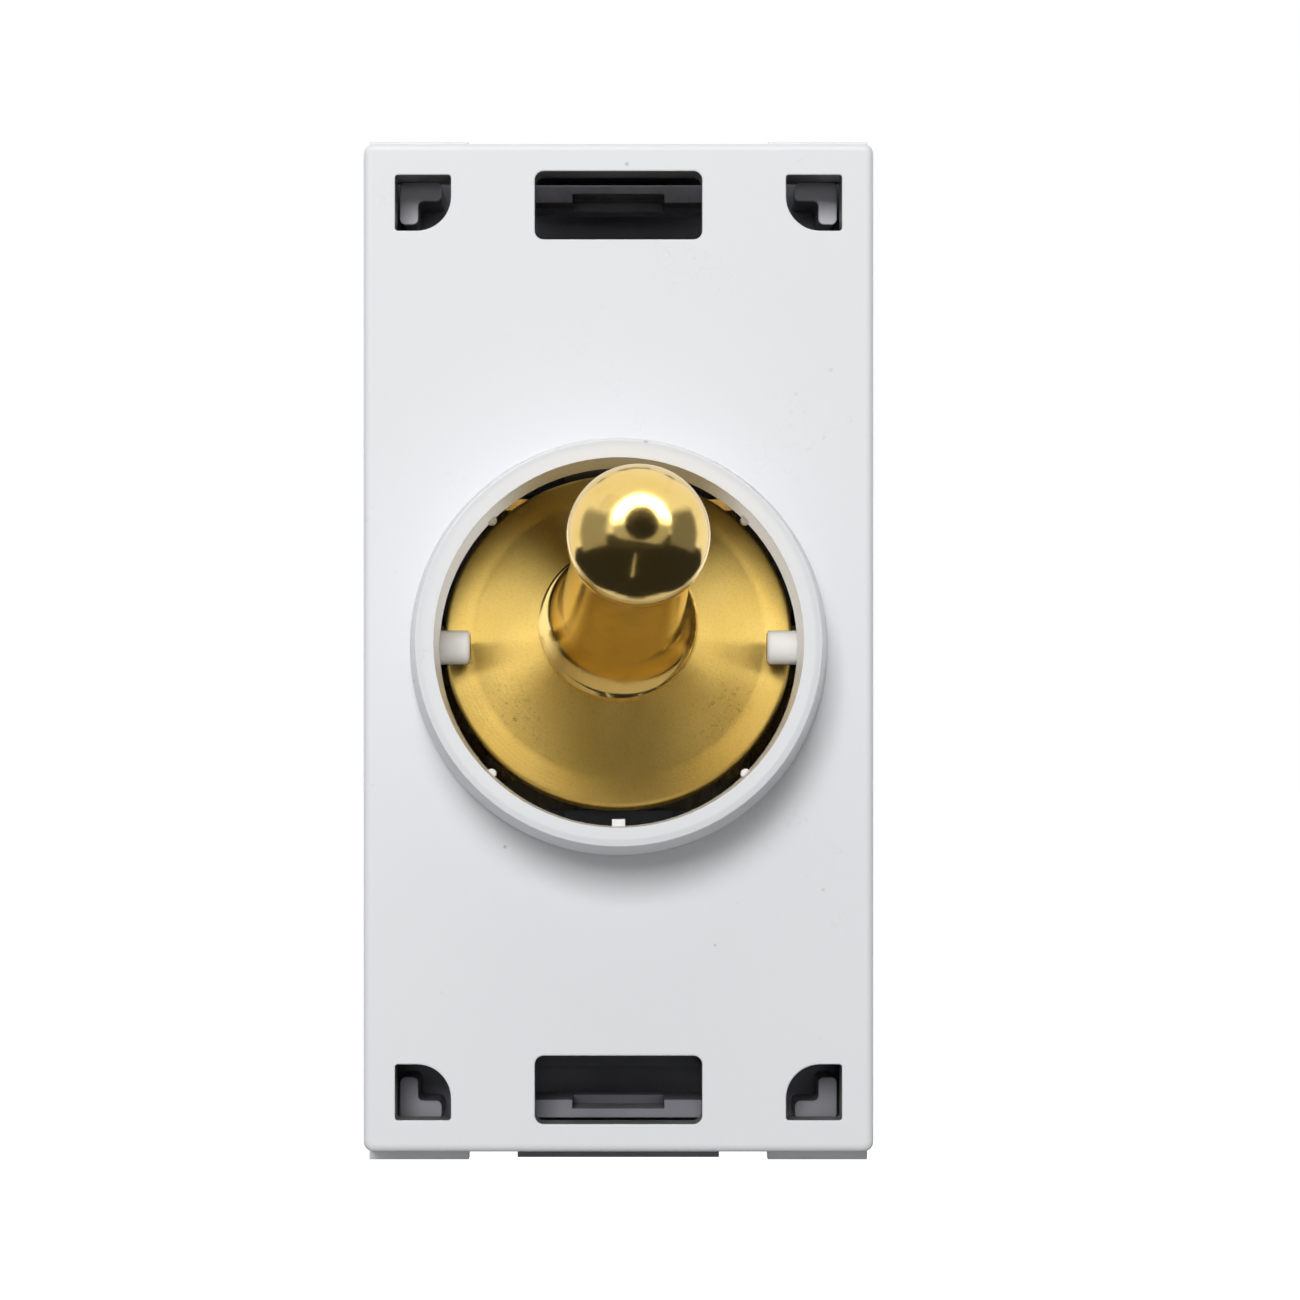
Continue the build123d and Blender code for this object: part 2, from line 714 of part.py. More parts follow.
# Cross pin through the carrier and the dolly's tail
with BuildPart() as cross_pin:
    with BuildSketch(dolly_plane(cross_pin_height).rotated((90, 0, 0))):
        Circle(cross_pin_radius)
    extrude(amount=cross_pin_half_length, both=True)
    chamfer(cross_pin.edges().filter_by(GeomType.CIRCLE), cross_pin_chamfer)
write(cross_pin.part, "cross_pin")

# One set of moving pieces for each pole
for name, side in (("left", -1), ("right", 1)):
    bore_axis_point = pivot + Vector(side * pole_x, 0, 0)
    with BuildPart() as plunger:
        with BuildSketch(turning_plane(bore_axis_point, dolly_axis)):
            with BuildLine():
                shoulder_height = plunger_back_height - plunger_shoulder_length
                Polyline(
                    (0, plunger_nose_centre - plunger_nose_radius),
                    (0, plunger_back_height),
                    (plunger_radius, plunger_back_height),
                    (plunger_radius, shoulder_height),
                    (plunger_nose_radius, plunger_nose_centre + seat_clearance),
                    (plunger_nose_radius, plunger_nose_centre),
                )
                RadiusArc(
                    (plunger_nose_radius, plunger_nose_centre),
                    (0, plunger_nose_centre - plunger_nose_radius),
                    plunger_nose_radius,
                )
            make_face()
        revolve(axis=Axis(bore_axis_point, dolly_axis))
    write(plunger.part, f"plunger_{name}")

    with BuildPart() as spring:
        coil_end_gap = spring_wire_radius + running_clearance
        coil_length = plunger_bore_end - plunger_back_height - 2 * coil_end_gap
        coil_start = plunger_back_height + coil_end_gap
        coil_centre = bore_axis_point + dolly_axis * coil_start
        with BuildLine() as coil:
            Helix(
                coil_length / spring_turns,
                coil_length,
                spring_coil_radius,
                center=coil_centre,
                direction=dolly_axis,
            )
        with BuildSketch(coil.line ^ 0):
            RegularPolygon(spring_wire_radius, spring_wire_sides)
        sweep(is_frenet=True)
    write(spring.part, f"plunger_spring_{name}")

    # Rocker: bent blade with a round ridge underneath that rolls in the saddle's groove
    with BuildPart() as rocker:
        with BuildSketch(side_plane(side * pole_x - rocker_width / 2, rocker_depth, 0, rocker_swing)):
            with BuildLine():
                rise = rocker_half_length * tan(radians(rocker_arm_slope))
                front = -rocker_front_offset
                back = front + rocker_thickness
                Polyline(
                    (front, 0),
                    (front - rise, rocker_half_length),
                    (back - rise, rocker_half_length),
                    (back, 0),
                    (back - rise, -rocker_half_length),
                    (front - rise, -rocker_half_length),
                    close=True,
                )
            make_face()
            Circle(rocker_ridge_radius)
            with Locations((front / 2, 0)):
                Rectangle(-front, rocker_neck_width)
        extrude(amount=rocker_width)
    write(rocker.part, f"rocker_{name}")

    arm_face = back - contact_z * tan(radians(rocker_arm_slope))
    with BuildPart() as rocker_contacts:
        for end in (-1, 1):
            arm = side_plane(side * pole_x, rocker_depth, 0, rocker_swing)
            centre = arm.from_local_coords(Vector(arm_face, end * contact_z, 0))
            slope = radians(rocker_swing + end * rocker_arm_slope)
            outward = Vector(0, cos(slope), sin(slope))
            with BuildSketch(Plane(origin=centre, x_dir=(1, 0, 0), z_dir=outward)):
                Circle(moving_contact_radius)
            extrude(amount=contact_thickness)
    write(rocker_contacts.part, f"rocker_contacts_{name}")

    # Common strap: saddle under the rocker, riser at the side and lead to the lower terminal
    with BuildPart() as common_strap:
        outer_x = housing_inner - strap_side_gap
        saddle_inner = pole_x - rocker_width / 2
        saddle_front = rocker_depth + seat_clearance
        with BuildSketch(face_plane(saddle_front)):
            with Locations((side * (outer_x + saddle_inner) / 2, 0)):
                Rectangle(outer_x - saddle_inner, 2 * saddle_half_height)
        extrude(amount=-saddle_thickness)
        with BuildSketch(side_plane(side * pole_x, rocker_depth)):
            Circle(rocker_ridge_radius + running_clearance)
        extrude(amount=rocker_width, both=True, mode=Mode.SUBTRACT)
        lead_x = side * (outer_x - strap_thickness / 2)
        with BuildSketch(face_plane(saddle_front)):
            with Locations((lead_x, 0)):
                Rectangle(strap_thickness, 2 * saddle_half_height)
        extrude(amount=-(block_front_depth - saddle_front))
        with BuildSketch(face_plane(lead_depth)):
            strip_low = -block_centre_z + block_height / 2 - strap_width
            side_strip_x = side * (outer_x - side_strip_width / 2)
            with Locations((side_strip_x, (saddle_half_height + strip_low) / 2)):
                Rectangle(side_strip_width, saddle_half_height - strip_low)
            inner_x = pole_x - strap_width / 2
            with Locations((side * (outer_x + inner_x) / 2, strip_low + strap_width / 2)):
                Rectangle(outer_x - inner_x, strap_width)
            lead_low = -block_outer_end + strap_end_gap
            with Locations((side * pole_x, (strip_low + lead_low) / 2)):
                Rectangle(strap_width, strip_low - lead_low)
        extrude(amount=-strap_thickness)
    write(common_strap.part, f"common_strap_{name}")

# Cross straps: each joins an upper terminal to the upper contact below it and, by a bar that
# crosses the middle, to the lower contact of the other pole
pad_inner = pole_x - rocker_width / 2 - strap_thickness
pad_outer = pole_x + strap_width / 2
for name, side, cross_depth in (
    ("front", -1, front_cross_depth),
    ("rear", 1, rear_cross_depth),
):
    with BuildPart() as cross_strap:
        bar_back = cross_depth + strap_thickness
        for end in (-1, 1):
            pole = side * end
            with BuildSketch(face_plane(pad_depth)):
                with Locations((pole * (pad_inner + pad_outer) / 2, end * contact_z)):
                    Rectangle(pad_outer - pad_inner, pad_length)
            extrude(amount=-strap_thickness)
            with BuildSketch(face_plane(pad_depth)):
                with Locations((pole * (pad_inner + strap_thickness / 2), end * contact_z)):
                    Rectangle(strap_thickness, riser_width)
            extrude(amount=-(bar_back - pad_depth))
        # Diagonal bar between the two risers
        with BuildSketch(face_plane(cross_depth)):
            bar_x = side * (pad_inner + strap_thickness / 2)
            with BuildLine():
                Line((bar_x, contact_z), (-bar_x, -contact_z))
            trace(line_width=cross_bar_width)
            with Locations((bar_x, contact_z), (-bar_x, -contact_z)):
                Rectangle(strap_thickness, riser_width)
        extrude(amount=-strap_thickness)
        # Lead from the upper pad up to the terminal block, with a step back to its face
        with BuildSketch(side_plane(side * pole_x - strap_width / 2)):
            with BuildLine():
                step_low = contact_z + pad_length / 2
                Polyline(
                    (pad_depth + strap_thickness / 2, contact_z),
                    (pad_depth + strap_thickness / 2, step_low + strap_thickness),
                    (lead_depth + strap_thickness / 2, step_low + strap_thickness + lead_step_depth),
                    (lead_depth + strap_thickness / 2, block_outer_end - strap_end_gap),
                )
            trace(line_width=strap_thickness)
        extrude(amount=strap_width)
    write(cross_strap.part, f"cross_strap_{name}")

# Fixed contacts, terminal blocks and terminal screws, one of each at every corner
for row, end in (("top", 1), ("bottom", -1)):
    for column, side in (("left", -1), ("right", 1)):
        x = side * pole_x
        place = f"{row}_{column}"
        with BuildPart() as fixed_contact:
            with BuildSketch(face_plane(pad_depth)):
                with Locations((x, end * contact_z)):
                    Circle(fixed_contact_radius)
            extrude(amount=contact_thickness)
            chamfer(fixed_contact.edges().group_by(Axis.Y)[0], contact_chamfer)
        write(fixed_contact.part, f"fixed_contact_{place}")

        with BuildPart() as terminal_block:
            with BuildSketch(face_plane(block_front_depth)):
                with Locations((x, end * block_centre_z)):
                    Rectangle(block_width, block_height)
            extrude(amount=-(block_back_depth - block_front_depth))
            chamfer(terminal_block.edges().filter_by(Axis.Y), block_chamfer)
            with BuildSketch(face_plane(block_front_depth)):
                with Locations((x, end * block_centre_z)):
                    Circle(wire_bore_radius)
            extrude(amount=-(block_back_depth - block_front_depth), mode=Mode.SUBTRACT)
            with BuildSketch(end_plane(end * block_outer_end)):
                with Locations((x, screw_depth)):
                    Circle(terminal_screw_radius + running_clearance)
            extrude(amount=-end * block_height / 2, mode=Mode.SUBTRACT)
        write(terminal_block.part, f"terminal_block_{place}")

        with BuildPart() as terminal_screw:
            head_seat = block_outer_end + seat_clearance + terminal_screw_travel
            head_top = head_seat + terminal_head_height
            tip = block_centre_z + wire_bore_radius + seat_clearance
            with BuildSketch(end_plane(end * tip)):
                with Locations((x, screw_depth)):
                    Circle(terminal_screw_radius)
            extrude(amount=end * (head_top - tip))
            chamfer(terminal_screw.edges().sort_by(Axis.Z)[0 if end > 0 else -1], terminal_tip_chamfer)
            with BuildSketch(end_plane(end * head_seat)):
                with Locations((x, screw_depth)):
                    Circle(terminal_head_radius)
            extrude(amount=end * terminal_head_height)
            with BuildSketch(end_plane(end * head_top)):
                with Locations((x, screw_depth)):
                    Rectangle(2 * terminal_head_radius, terminal_slot_width)
            extrude(amount=-end * terminal_slot_depth, mode=Mode.SUBTRACT)
        write(terminal_screw.part, f"terminal_screw_{place}")
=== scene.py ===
from math import asin, atan2, cos, pi, radians, sin, sqrt

import bmesh
import bpy
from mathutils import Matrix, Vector


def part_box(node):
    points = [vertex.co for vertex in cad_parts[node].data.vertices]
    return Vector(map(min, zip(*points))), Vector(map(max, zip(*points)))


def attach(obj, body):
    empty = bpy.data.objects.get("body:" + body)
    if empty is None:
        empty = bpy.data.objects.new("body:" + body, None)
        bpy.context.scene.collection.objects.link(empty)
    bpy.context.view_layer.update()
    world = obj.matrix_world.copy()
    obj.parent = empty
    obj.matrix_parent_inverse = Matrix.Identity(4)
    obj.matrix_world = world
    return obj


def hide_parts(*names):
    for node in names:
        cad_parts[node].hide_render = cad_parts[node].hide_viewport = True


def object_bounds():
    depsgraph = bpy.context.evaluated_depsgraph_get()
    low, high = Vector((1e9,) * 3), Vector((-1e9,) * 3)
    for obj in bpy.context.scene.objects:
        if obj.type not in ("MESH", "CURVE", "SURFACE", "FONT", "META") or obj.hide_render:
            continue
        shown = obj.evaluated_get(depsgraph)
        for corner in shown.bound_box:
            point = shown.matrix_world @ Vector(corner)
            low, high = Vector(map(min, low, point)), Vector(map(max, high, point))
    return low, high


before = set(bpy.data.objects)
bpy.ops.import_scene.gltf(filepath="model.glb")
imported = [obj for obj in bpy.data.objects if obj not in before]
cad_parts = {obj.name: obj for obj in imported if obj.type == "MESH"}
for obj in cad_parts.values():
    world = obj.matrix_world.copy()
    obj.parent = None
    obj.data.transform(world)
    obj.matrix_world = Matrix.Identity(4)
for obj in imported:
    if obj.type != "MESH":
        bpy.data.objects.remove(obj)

# The looks of an intermediate light switch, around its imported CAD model.
# Blender works in metres; sizes here are written in millimetres and scaled by MM.
MM = 0.001
cad_box = [list(corner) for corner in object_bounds()]

# Places read from the photograph, in its 1300 x 1300 pixels
photo_side = 1300
photo_scale = 20.2
photo_face_centre = (618.5, 647.5)

# Camera: where the photograph was taken from, in millimetres
camera_x = -0.32
camera_z = -6.3
camera_distance = 145.0
sensor_width = 36.0

# The dolly's own form. Heights are along its axis, from the tilt axis outwards.
pivot_depth = 3.5
tilt_angle = radians(15.0)
neck_lean = radians(3.8)
disc_front_height = 2.1
disc_back_height = 1.05
disc_edge_round = 0.22
band_inner_radius = 7.3
band_rise = 0.12
skirt_dish = 0.3
skirt_end_inset = 0.12
bead_radius = 3.95
bead_bottom_height = 4.15
bead_top_height = 4.75
bead_edge_inset = 0.14
bead_foot_round = 0.08
bead_top_round = 0.1
neck_foot_radius = 3.0
neck_foot_height = 7.4
neck_top_radius = 2.7
ball_radius = 3.25
ball_centre_height = 17.2
tail_radius = 1.9
tail_length = 4.0
tail_end_round = 0.3
dolly_pivot = Vector((0, pivot_depth, 0)) * MM
dolly_axis = Vector((0, -cos(tilt_angle), sin(tilt_angle)))
turned_steps = 192

# The collar of the front plate, and the rounds that its rim is shaded with
collar_radius = 9.7
collar_bore = 8.83
collar_height = 5.5
collar_round = 0.3
collar_inner_round = 0.2
rim_flatness = 9.0
rim_edge = 0.12

# The openings of the front plate lie within this half width and height, behind the face
opening_wall_depth = 0.05
opening_half_width = 12.0
opening_half_height = 24.3

# The housing behind the openings: its posts and ledges at both ends, and its flange
housing_end = 20.0
post_front_depth = 4.0
ledge_half_width = 5.4
ledge_back_depth = 6.0
flash_inner, flash_outer = 11.2, 12.3
flash_front_depth, flash_back_depth = 6.87, 7.02
flash_half_height = 24.6


def photo_point(px, py):
    """The place on the face that a pixel of the photograph shows: X and Z in millimetres."""
    return (px - photo_face_centre[0]) / photo_scale, (photo_face_centre[1] - py) / photo_scale


class Nodes:
    """A node tree, with short ways to add nodes and to join them. Values are sockets or numbers."""

    def __init__(self, tree):
        self.tree = tree
        tree.nodes.clear()

    def node(self, kind, **settings):
        made = self.tree.nodes.new(kind)
        for key, value in settings.items():
            setattr(made, key, value)
        return made

    def feed(self, socket, value):
        if isinstance(value, bpy.types.NodeSocket):
            self.tree.links.new(value, socket)
        elif value is not None:
            socket.default_value = value

    def math(self, operation, *values):
        made = self.node("ShaderNodeMath", operation=operation)
        for socket, value in zip(made.inputs, values):
            self.feed(socket, value)
        return made.outputs[0]

    def total(self, *values):
        result = values[0]
        for value in values[1:]:
            result = self.math("ADD", result, value)
        return result

    def product(self, *values):
        result = values[0]
        for value in values[1:]:
            result = self.math("MULTIPLY", result, value)
        return result

    def size(self, value):
        return self.math("ABSOLUTE", value)

    def above(self, value, limit):
        """1 where value is over the limit, and 0 elsewhere."""
        return self.math("GREATER_THAN", value, limit)

    def below(self, value, limit):
        """1 where value is under the limit, and 0 elsewhere."""
        return self.math("LESS_THAN", value, limit)

    def vector(self, operation, *values, scale=None):
        made = self.node("ShaderNodeVectorMath", operation=operation)
        for socket, value in zip(made.inputs, values):
            self.feed(socket, value)
        if scale is not None:
            self.feed(made.inputs["Scale"], scale)
        number = operation in ("LENGTH", "DISTANCE", "DOT_PRODUCT")
        return made.outputs["Value" if number else "Vector"]

    def joined(self, x, z):
        """The vector with this X and Z and no Y."""
        made = self.node("ShaderNodeCombineXYZ")
        self.feed(made.inputs["X"], x)
        self.feed(made.inputs["Z"], z)
        return made.outputs["Vector"]

    def fade(self, value, low, high, at_low=0.0, at_high=1.0):
        """at_low below low, at_high above high, smooth between."""
        made = self.node("ShaderNodeMapRange", interpolation_type="SMOOTHSTEP")
        for key, number in zip(("Value", "From Min", "From Max", "To Min", "To Max"),
                               (value, low, high, at_low, at_high)):
            self.feed(made.inputs[key], number)
        return made.outputs["Result"]

    def seen_ray(self):
        """1 for camera, glossy and transmission rays, which see the background, and 0 for the rest."""
        rays = self.node("ShaderNodeLightPath").outputs
        first = self.math("MAXIMUM", rays["Is Camera Ray"], rays["Is Glossy Ray"])
        return self.math("MAXIMUM", first, rays["Is Transmission Ray"])


class Paint(Nodes):
    """A material. Its patterns are laid out in millimetres in the object's own space."""

    def __init__(self, name):
        self.material = bpy.data.materials.new(name)
        self.material.use_nodes = True
        super().__init__(self.material.node_tree)
        self.output = self.node("ShaderNodeOutputMaterial")
        place = self.node("ShaderNodeTexCoord").outputs["Object"]
        self.mm = self.vector("SCALE", place, scale=1 / MM)

    def show(self, shader):
        self.feed(self.output.inputs["Surface"], shader)

    def axes(self):
        """X, Y and Z in millimetres."""
        split = self.node("ShaderNodeSeparateXYZ")
        self.feed(split.inputs["Vector"], self.mm)
        return split.outputs["X"], split.outputs["Y"], split.outputs["Z"]


class Finish(Paint):
    """The finish of a piece: one shader, with patterns for its colour, roughness and relief."""

    def __init__(self, name):
        super().__init__(name)
        self.shader = self.node("ShaderNodeBsdfPrincipled")
        self.show(self.shader.outputs["BSDF"])

    def stretched(self, x, y, z):
        """The millimetre space with each axis scaled by its own number."""
        return self.vector("MULTIPLY", self.mm, (x, y, z))

    def noise(self, scale, detail=2.0, roughness=0.5, space=None):
        """Cloudy noise about 0.5, with scale features to the millimetre."""
        made = self.node("ShaderNodeTexNoise")
        self.feed(made.inputs["Vector"], space or self.mm)
        for key, number in (("Scale", scale), ("Detail", detail), ("Roughness", roughness)):
            self.feed(made.inputs[key], number)
        return made.outputs[0]

    def flecks(self, scale, share, size):
        """Small scattered spots: 1 in a spot and 0 outside, in the given share of the cells."""
        cells = self.node("ShaderNodeTexVoronoi")
        self.feed(cells.inputs["Vector"], self.mm)
        self.feed(cells.inputs["Scale"], scale)
        pick = self.node("ShaderNodeSeparateColor")
        self.feed(pick.inputs["Color"], cells.outputs["Color"])
        spot = self.fade(cells.outputs["Distance"], size * 0.6, size, 1.0, 0.0)
        return self.product(spot, self.below(pick.outputs["Red"], share))

    def tint(self, share, colour, other):
        """colour where share is 0 and other where it is 1."""
        made = self.node("ShaderNodeMix", data_type="RGBA", clamp_factor=True)
        self.feed(made.inputs[0], share)
        self.feed(made.inputs[6], colour if isinstance(colour, bpy.types.NodeSocket) else (*colour, 1))
        self.feed(made.inputs[7], (*other, 1))
        return made.outputs[2]

    def painted_corner_shade(self, colour, reach, darkest):
        """Painted shade: the colour, darkened in corners and openings narrower than reach millimetres."""
        open_share = self.node("ShaderNodeAmbientOcclusion", samples=8)
        self.feed(open_share.inputs["Distance"], reach * MM)
        share = self.fade(open_share.outputs["AO"], 0.15, 0.75, 1.0, 0.0)
        return self.tint(share, colour, darkest)

    def bevel(self, radius):
        """The normal, rounded off across edges by a radius in millimetres."""
        made = self.node("ShaderNodeBevel", samples=6)
        made.inputs["Radius"].default_value = radius * MM
        return made.outputs["Normal"]

    def to_world(self, value, kind):
        """A vector of the object's space, of kind VECTOR or NORMAL, in world space."""
        made = self.node("ShaderNodeVectorTransform", vector_type=kind, convert_from="OBJECT",
                         convert_to="WORLD")
        self.feed(made.inputs["Vector"], value)
        return made.outputs["Vector"]

    def surface(self, colour, roughness, relief, depth, normal=None, **uniform):
        """Sets the shader. relief is a height from 0 to 1, and depth is what 1 means in millimetres."""
        self.feed(self.shader.inputs["Base Color"], colour)
        self.feed(self.shader.inputs["Roughness"], roughness)
        bump = self.node("ShaderNodeBump")
        self.feed(bump.inputs["Height"], relief)
        bump.inputs["Distance"].default_value = depth * MM
        self.feed(bump.inputs["Normal"], normal)
        self.feed(self.shader.inputs["Normal"], bump.outputs["Normal"])
        for key, value in uniform.items():
            socket = key.replace("_", " ").title().replace("Ior", "IOR")
            self.shader.inputs[socket].default_value = value
        return self.material


# The dark specks on the white face: their place in the photograph, then radius and darkness
face_specks = (
    ((627, 164), 0.16, 0.45),
    ((645, 453), 0.17, 0.5),
    ((416, 682), 0.14, 0.55),
    ((505, 847), 0.13, 0.6),
    ((715, 945), 0.12, 0.3),
    ((823, 890), 0.14, 0.3),
    ((831, 370), 0.17, 0.16),
    ((796, 394), 0.15, 0.12),
    ((824, 437), 0.14, 0.12),
)
speck_edge = 0.06
speck_front_limit = 0.3


def white_plastic():
    """Moulded white plastic with faint hairs, dust and specks, and painted shade on the walls of its
    openings.
    """
    finish = Finish("white_plastic")
    white = (0.79, 0.80, 0.818)
    dirt = (0.16, 0.15, 0.15)
    # painted shade: the dark colour given to the walls of the windows and slots
    painted_shade = (0.09, 0.085, 0.075)
    x, y, z = finish.axes()
    # Faint hairs and wipe marks: thin level lines of a slow noise, kept to some places only
    lines = finish.size(finish.math("SUBTRACT", finish.noise(0.35, 3.0, 0.6), 0.5))
    moved = finish.vector("ADD", finish.mm, (31, 7, 12))
    places = finish.fade(finish.noise(0.22, 1.0, space=moved), 0.55, 0.7)
    hairs = finish.product(finish.fade(lines, 0.0, 0.005, 1.0, 0.0), places, 0.07)
    dust = finish.product(finish.flecks(0.9, 0.16, 0.075), 0.08)
    colour = finish.tint(finish.total(hairs, dust), white, dirt)
    # The specks lie on the front of the face or on the collar's rim, with ragged edges
    in_front = finish.below(y, speck_front_limit)
    ragged = finish.product(finish.noise(6.0, 2.0), 0.12)
    for place, radius, darkness in face_specks:
        speck_x, speck_z = photo_point(*place)
        away = finish.vector("LENGTH", finish.joined(finish.math("SUBTRACT", x, speck_x),
                                                     finish.math("SUBTRACT", z, speck_z)))
        spot = finish.fade(finish.total(away, ragged), speck_edge, radius + speck_edge, darkness, 0.0)
        colour = finish.tint(finish.product(spot, in_front), colour, dirt)
    # The walls of the windows and slots lie in shadow, and painted shade darkens their colour
    walls = finish.product(finish.above(y, opening_wall_depth),
                           finish.below(finish.size(x), opening_half_width),
                           finish.below(finish.size(z), opening_half_height))
    colour = finish.tint(finish.product(walls, 0.9), colour, painted_shade)
    roughness = finish.fade(finish.noise(0.5, 3.0), 0.3, 0.75, 0.33, 0.36)
    relief = finish.total(finish.product(finish.noise(0.3, 1.0), 0.5),
                          finish.product(finish.noise(7.0, 2.0), 0.12))
    normal = collar_normal(finish, x, y, z, finish.bevel(0.14))
    return finish.surface(colour, roughness, relief, 0.006, normal, ior=1.5, specular_ior_level=0.2)


def collar_normal(finish, x, y, z, elsewhere):
    """The normal of a truly round collar with soft edges, and the given normal away from it."""
    across = finish.joined(x, z)
    radius = finish.vector("LENGTH", across)
    height = finish.product(y, -1.0)
    # The outer edge leans outwards, and the inner edge leans inwards over a smaller round
    beyond = finish.math("SUBTRACT", radius, collar_radius - rim_edge)
    within = finish.math("SUBTRACT", collar_bore + collar_inner_round, radius)
    lean = finish.math("SUBTRACT", finish.math("MAXIMUM", beyond, 0.0),
                       finish.product(finish.math("MAXIMUM", within, 0.0), rim_edge / collar_inner_round))
    over = finish.math("MAXIMUM", finish.math("SUBTRACT", height, collar_height - collar_round), 0.0)
    aside = finish.vector("SCALE", finish.vector("NORMALIZE", across), scale=lean)
    front = finish.vector("SCALE", (0.0, -1.0, 0.0), scale=finish.product(over, rim_flatness))
    soft = finish.vector("NORMALIZE", finish.vector("ADD", aside, front))
    # The bore's own wall keeps its plain normal behind the rounded edge
    standing = finish.product(finish.above(radius, collar_bore - 0.01),
                              finish.below(radius, collar_radius + 0.03), finish.above(height, 0.02))
    wall = finish.product(finish.below(radius, collar_bore + 0.03),
                          finish.below(height, collar_height - 0.03))
    choice = finish.node("ShaderNodeMix", data_type="VECTOR")
    finish.feed(choice.inputs[0], finish.product(standing, finish.math("SUBTRACT", 1.0, wall)))
    finish.feed(choice.inputs[4], elsewhere)
    finish.feed(choice.inputs[5], finish.to_world(soft, "NORMAL"))
    return choice.outputs[1]


def moulded(name, base, lighter, gloss, grain, grain_depth, painted_light_and_shade=None):
    """Moulded plastic with a fine eroded grain, slight mottling, a little dust, and painted shade in its
    corners.
    """
    finish = Finish(name)
    colour = finish.tint(finish.fade(finish.noise(0.3, 3.0), 0.3, 0.75), base, lighter)
    pale = tuple(min(1.0, value * 1.8 + 0.03) for value in base)
    colour = finish.tint(finish.product(finish.flecks(1.3, 0.25, 0.08), 0.35), colour, pale)
    # Painted shade in corners and openings
    colour = finish.painted_corner_shade(colour, 2.5, tuple(value * 0.3 for value in base))
    # Painted light and shade, where the piece is given it
    if painted_light_and_shade:
        colour = painted_light_and_shade(finish, colour)
    roughness = finish.fade(finish.noise(1.4, 3.0), 0.3, 0.7, gloss - 0.06, gloss + 0.08)
    relief = finish.total(finish.noise(grain, 3.0, 0.6), finish.product(finish.noise(0.6, 1.0), 0.8))
    return finish.surface(colour, roughness, relief, grain_depth, finish.bevel(0.1), ior=1.48)


def paint_end_light_and_shade(finish, colour):
    """Painted light and shade at the housing's ends. The fronts of the posts and ledges are painted light,
    least at the lower end and most at the upper end, where they lie in shadow; painted shade lies on the
    upper ledge."""
    x, y, z = finish.axes()
    # Painted light on the fronts of the posts and ledges, stronger at the upper end
    share = finish.fade(finish.above(z, 0.0), 0.0, 1.0, 0.2, 1.0)
    painted_post_light = finish.product(finish.fade(y, post_front_depth, post_front_depth + 0.3, 1.0, 0.0),
                            finish.above(finish.size(z), housing_end), share)
    colour = finish.tint(painted_post_light, colour, (0.74, 0.74, 0.80))
    # Painted shade on the upper ledge
    painted_shade = finish.product(finish.above(z, housing_end), finish.below(finish.size(x), ledge_half_width),
                           finish.below(y, ledge_back_depth), 0.75)
    return finish.tint(painted_shade, colour, (0.02, 0.018, 0.02))


def grey_plastic():
    return moulded("grey_plastic", (0.20, 0.20, 0.228), (0.235, 0.235, 0.262), 0.42, 5.0, 0.012, paint_end_light_and_shade)


def black_plastic():
    return moulded("black_plastic", (0.022, 0.022, 0.026), (0.034, 0.033, 0.038), 0.36, 6.0, 0.010)


def natural_nylon():
    finish = Finish("natural_nylon")
    cream = (0.72, 0.69, 0.60)
    waxy = (0.66, 0.61, 0.49)
    colour = finish.tint(finish.fade(finish.noise(0.9, 2.0), 0.35, 0.7), cream, waxy)
    roughness = finish.fade(finish.noise(2.5, 2.0), 0.3, 0.7, 0.32, 0.42)
    return finish.surface(colour, roughness, finish.noise(4.0, 2.0), 0.008, finish.bevel(0.06), ior=1.53,
                          subsurface_weight=0.25, subsurface_scale=0.0006)


def pale_board():
    """Pressed insulating board: flat fibres, darker flakes, and layers that show on its cut edges."""
    finish = Finish("pale_board")
    buff = (0.60, 0.52, 0.37)
    brown = (0.42, 0.33, 0.20)
    fibres = finish.noise(1.6, 5.0, 0.7, finish.stretched(1.0, 5.0, 0.35))
    layers = finish.noise(1.0, 2.0, 0.5, finish.stretched(0.3, 9.0, 0.3))
    colour = finish.tint(finish.fade(fibres, 0.38, 0.7), buff, brown)
    colour = finish.tint(finish.product(finish.fade(layers, 0.5, 0.62), 0.35), colour, brown)
    roughness = finish.fade(fibres, 0.3, 0.7, 0.62, 0.78)
    return finish.surface(colour, roughness, fibres, 0.03, finish.bevel(0.04), ior=1.45)


def metal(name, base, dull, gloss, space, marks, tarnish, depth, edge=0.08):
    """A worked metal: fine tool marks along one direction, and a patchy film of tarnish."""
    finish = Finish(name)
    grain = finish.noise(marks, 4.0, 0.65, finish.stretched(*space))
    film = finish.fade(finish.noise(0.7, 4.0, 0.6), 0.42, 0.72)
    colour = finish.tint(finish.product(film, tarnish), base, dull)
    stain = finish.product(finish.flecks(1.6, 0.3, 0.16), 0.35)
    colour = finish.tint(stain, colour, tuple(value * 0.35 for value in dull))
    roughness = finish.total(finish.fade(grain, 0.3, 0.7, gloss - 0.05, gloss + 0.07),
                             finish.product(film, 0.10))
    return finish.surface(colour, roughness, grain, depth, finish.bevel(edge), metallic=1.0)


def strip_brass():
    return metal("strip_brass", (0.80, 0.60, 0.26), (0.52, 0.36, 0.15), 0.27,
                 (14, 14, 0.5), 1.0, 0.6, 0.006)


def plated_brass():
    return metal("plated_brass", (0.74, 0.60, 0.33), (0.50, 0.40, 0.23), 0.30,
                 (1.0, 9, 9), 1.2, 0.5, 0.008)


